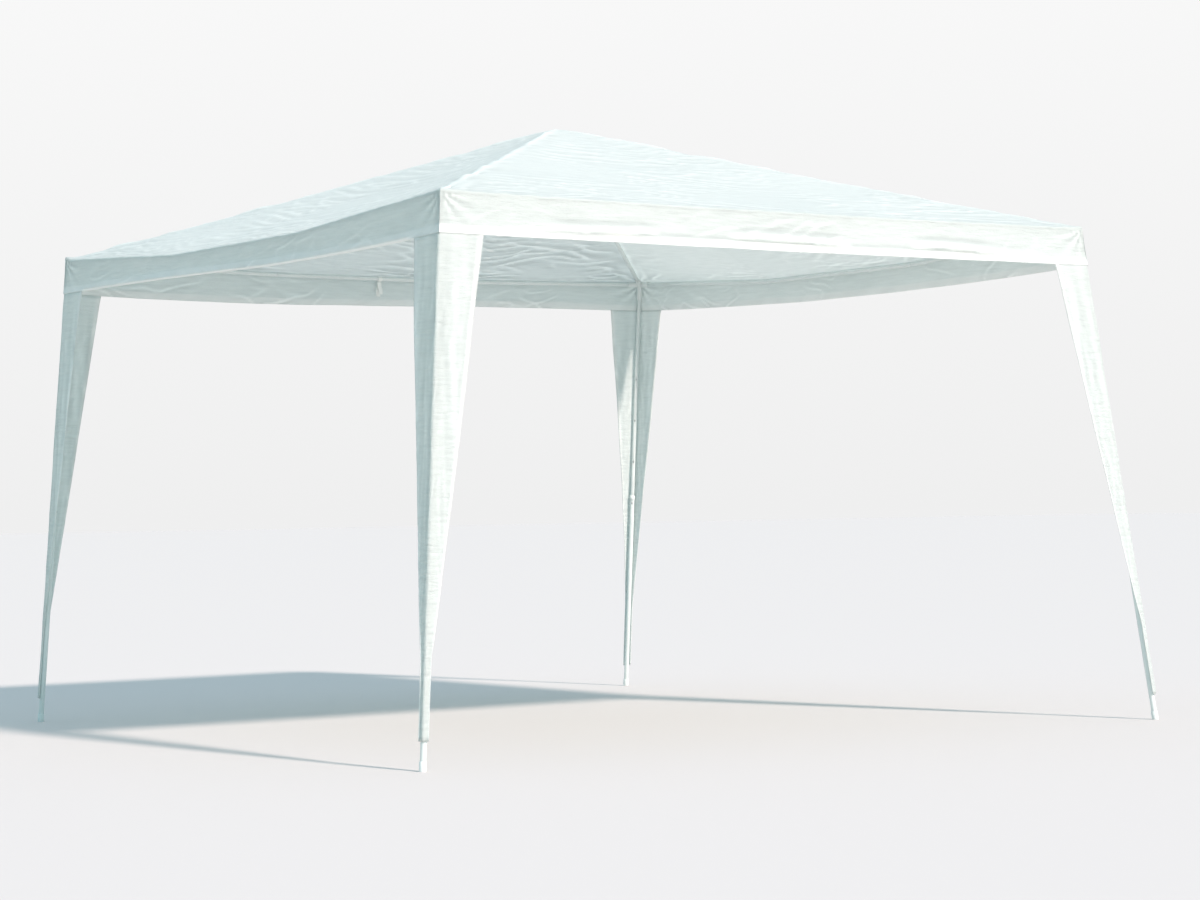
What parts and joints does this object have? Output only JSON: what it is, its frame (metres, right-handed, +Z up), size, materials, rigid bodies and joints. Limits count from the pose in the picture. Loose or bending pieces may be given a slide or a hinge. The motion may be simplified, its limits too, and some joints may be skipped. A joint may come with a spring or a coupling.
{
  "type": "gazebo",
  "caption": "Square garden gazebo with a pyramid sheet roof, straight valance and tapered leg covers on splayed telescopic steel tube legs.",
  "frame": {"origin": "on the ground, under the middle of the roof and of the feet's outline", "axes": "+Z up; +X from the front corner towards the right corner, +Y from the front corner towards the left corner"},
  "size_m": [3.326, 3.4261, 2.425],
  "materials": {
    "canopy_sheet": "woven laminated polyethylene sheet, matt with a faint sheen, slightly translucent",
    "tie_ribbon": "woven polyester tape",
    "frame_tube": "white powder coat, semi-gloss",
    "leg_tube": "white powder coat, semi-gloss",
    "connector_plastic": "moulded white plastic",
    "collar_plastic": "moulded white plastic",
    "foot_plastic": "moulded white plastic, a little scuffed",
    "button_steel": "zinc plated"
  },
  "bodies": {
    "root": {"apex_connector": "connector_plastic", "corner_connector_front": "connector_plastic", "hip_tube_lower_front": "frame_tube", "hip_tube_upper_front": "frame_tube", "upper_leg_front": "leg_tube", "leg_cover_front": "canopy_sheet", "corner_connector_left": "connector_plastic", "hip_tube_lower_left": "frame_tube", "hip_tube_upper_left": "frame_tube", "upper_leg_left": "leg_tube", "leg_cover_left": "canopy_sheet", "corner_connector_back": "connector_plastic", "hip_tube_lower_back": "frame_tube", "hip_tube_upper_back": "frame_tube", "upper_leg_back": "leg_tube", "leg_cover_back": "canopy_sheet", "corner_connector_right": "connector_plastic", "hip_tube_lower_right": "frame_tube", "hip_tube_upper_right": "frame_tube", "upper_leg_right": "leg_tube", "leg_cover_right": "canopy_sheet", "eave_tube_front_left_1": "frame_tube", "eave_tube_front_left_2": "frame_tube", "eave_tube_front_left_3": "frame_tube", "roof_panel_front_left": "canopy_sheet", "valance_front_left": "canopy_sheet", "eave_tube_back_left_1": "frame_tube", "eave_tube_back_left_2": "frame_tube", "eave_tube_back_left_3": "frame_tube", "roof_panel_back_left": "canopy_sheet", "valance_back_left": "canopy_sheet", "eave_tube_back_right_1": "frame_tube", "eave_tube_back_right_2": "frame_tube", "eave_tube_back_right_3": "frame_tube", "roof_panel_back_right": "canopy_sheet", "valance_back_right": "canopy_sheet", "eave_tube_front_right_1": "frame_tube", "eave_tube_front_right_2": "frame_tube", "eave_tube_front_right_3": "frame_tube", "roof_panel_front_right": "canopy_sheet", "valance_front_right": "canopy_sheet", "tie_ribbon_back_left": "tie_ribbon"},
    "lower_leg_front": {"lower_leg_front": "leg_tube", "leg_collar_front": "collar_plastic", "foot_front": "foot_plastic"},
    "snap_button_front": {"snap_button_front": "button_steel"},
    "lower_leg_left": {"lower_leg_left": "leg_tube", "leg_collar_left": "collar_plastic", "foot_left": "foot_plastic"},
    "snap_button_left": {"snap_button_left": "button_steel"},
    "lower_leg_back": {"lower_leg_back": "leg_tube", "leg_collar_back": "collar_plastic", "foot_back": "foot_plastic"},
    "snap_button_back": {"snap_button_back": "button_steel"},
    "lower_leg_right": {"lower_leg_right": "leg_tube", "leg_collar_right": "collar_plastic", "foot_right": "foot_plastic"},
    "snap_button_right": {"snap_button_right": "button_steel"}
  },
  "joints": [
    {"name": "leg_slide_front", "type": "slide", "parent": "root", "child": "lower_leg_front", "axis": [0.0852, 0.0493, 0.9951], "range_m": [0, 0.6]},
    {"name": "leg_slide_left", "type": "slide", "parent": "root", "child": "lower_leg_left", "axis": [0.0596, -0.0494, 0.997], "range_m": [0, 0.6]},
    {"name": "leg_slide_back", "type": "slide", "parent": "root", "child": "lower_leg_back", "axis": [-0.0185, -0.1107, 0.9937], "range_m": [0, 0.6]},
    {"name": "leg_slide_right", "type": "slide", "parent": "root", "child": "lower_leg_right", "axis": [-0.0848, 0.1103, 0.9903], "range_m": [0, 0.6]},
    {"name": "button_press_front", "type": "slide", "parent": "lower_leg_front", "child": "snap_button_front", "axis": [-0.7022, -0.7056, 0.095], "range_m": [0, 0.0025], "stiffness_N_per_m": 900, "springref_m": -0.002},
    {"name": "button_press_left", "type": "slide", "parent": "lower_leg_left", "child": "snap_button_left", "axis": [-0.7046, 0.7054, 0.0771], "range_m": [0, 0.0025], "stiffness_N_per_m": 900, "springref_m": -0.002},
    {"name": "button_press_back", "type": "slide", "parent": "lower_leg_back", "child": "snap_button_back", "axis": [0.7084, 0.6999, 0.0911], "range_m": [0, 0.0025], "stiffness_N_per_m": 900, "springref_m": -0.002},
    {"name": "button_press_right", "type": "slide", "parent": "lower_leg_right", "child": "snap_button_right", "axis": [0.7021, -0.6986, 0.1379], "range_m": [0, 0.0025], "stiffness_N_per_m": 900, "springref_m": -0.002}
  ]
}
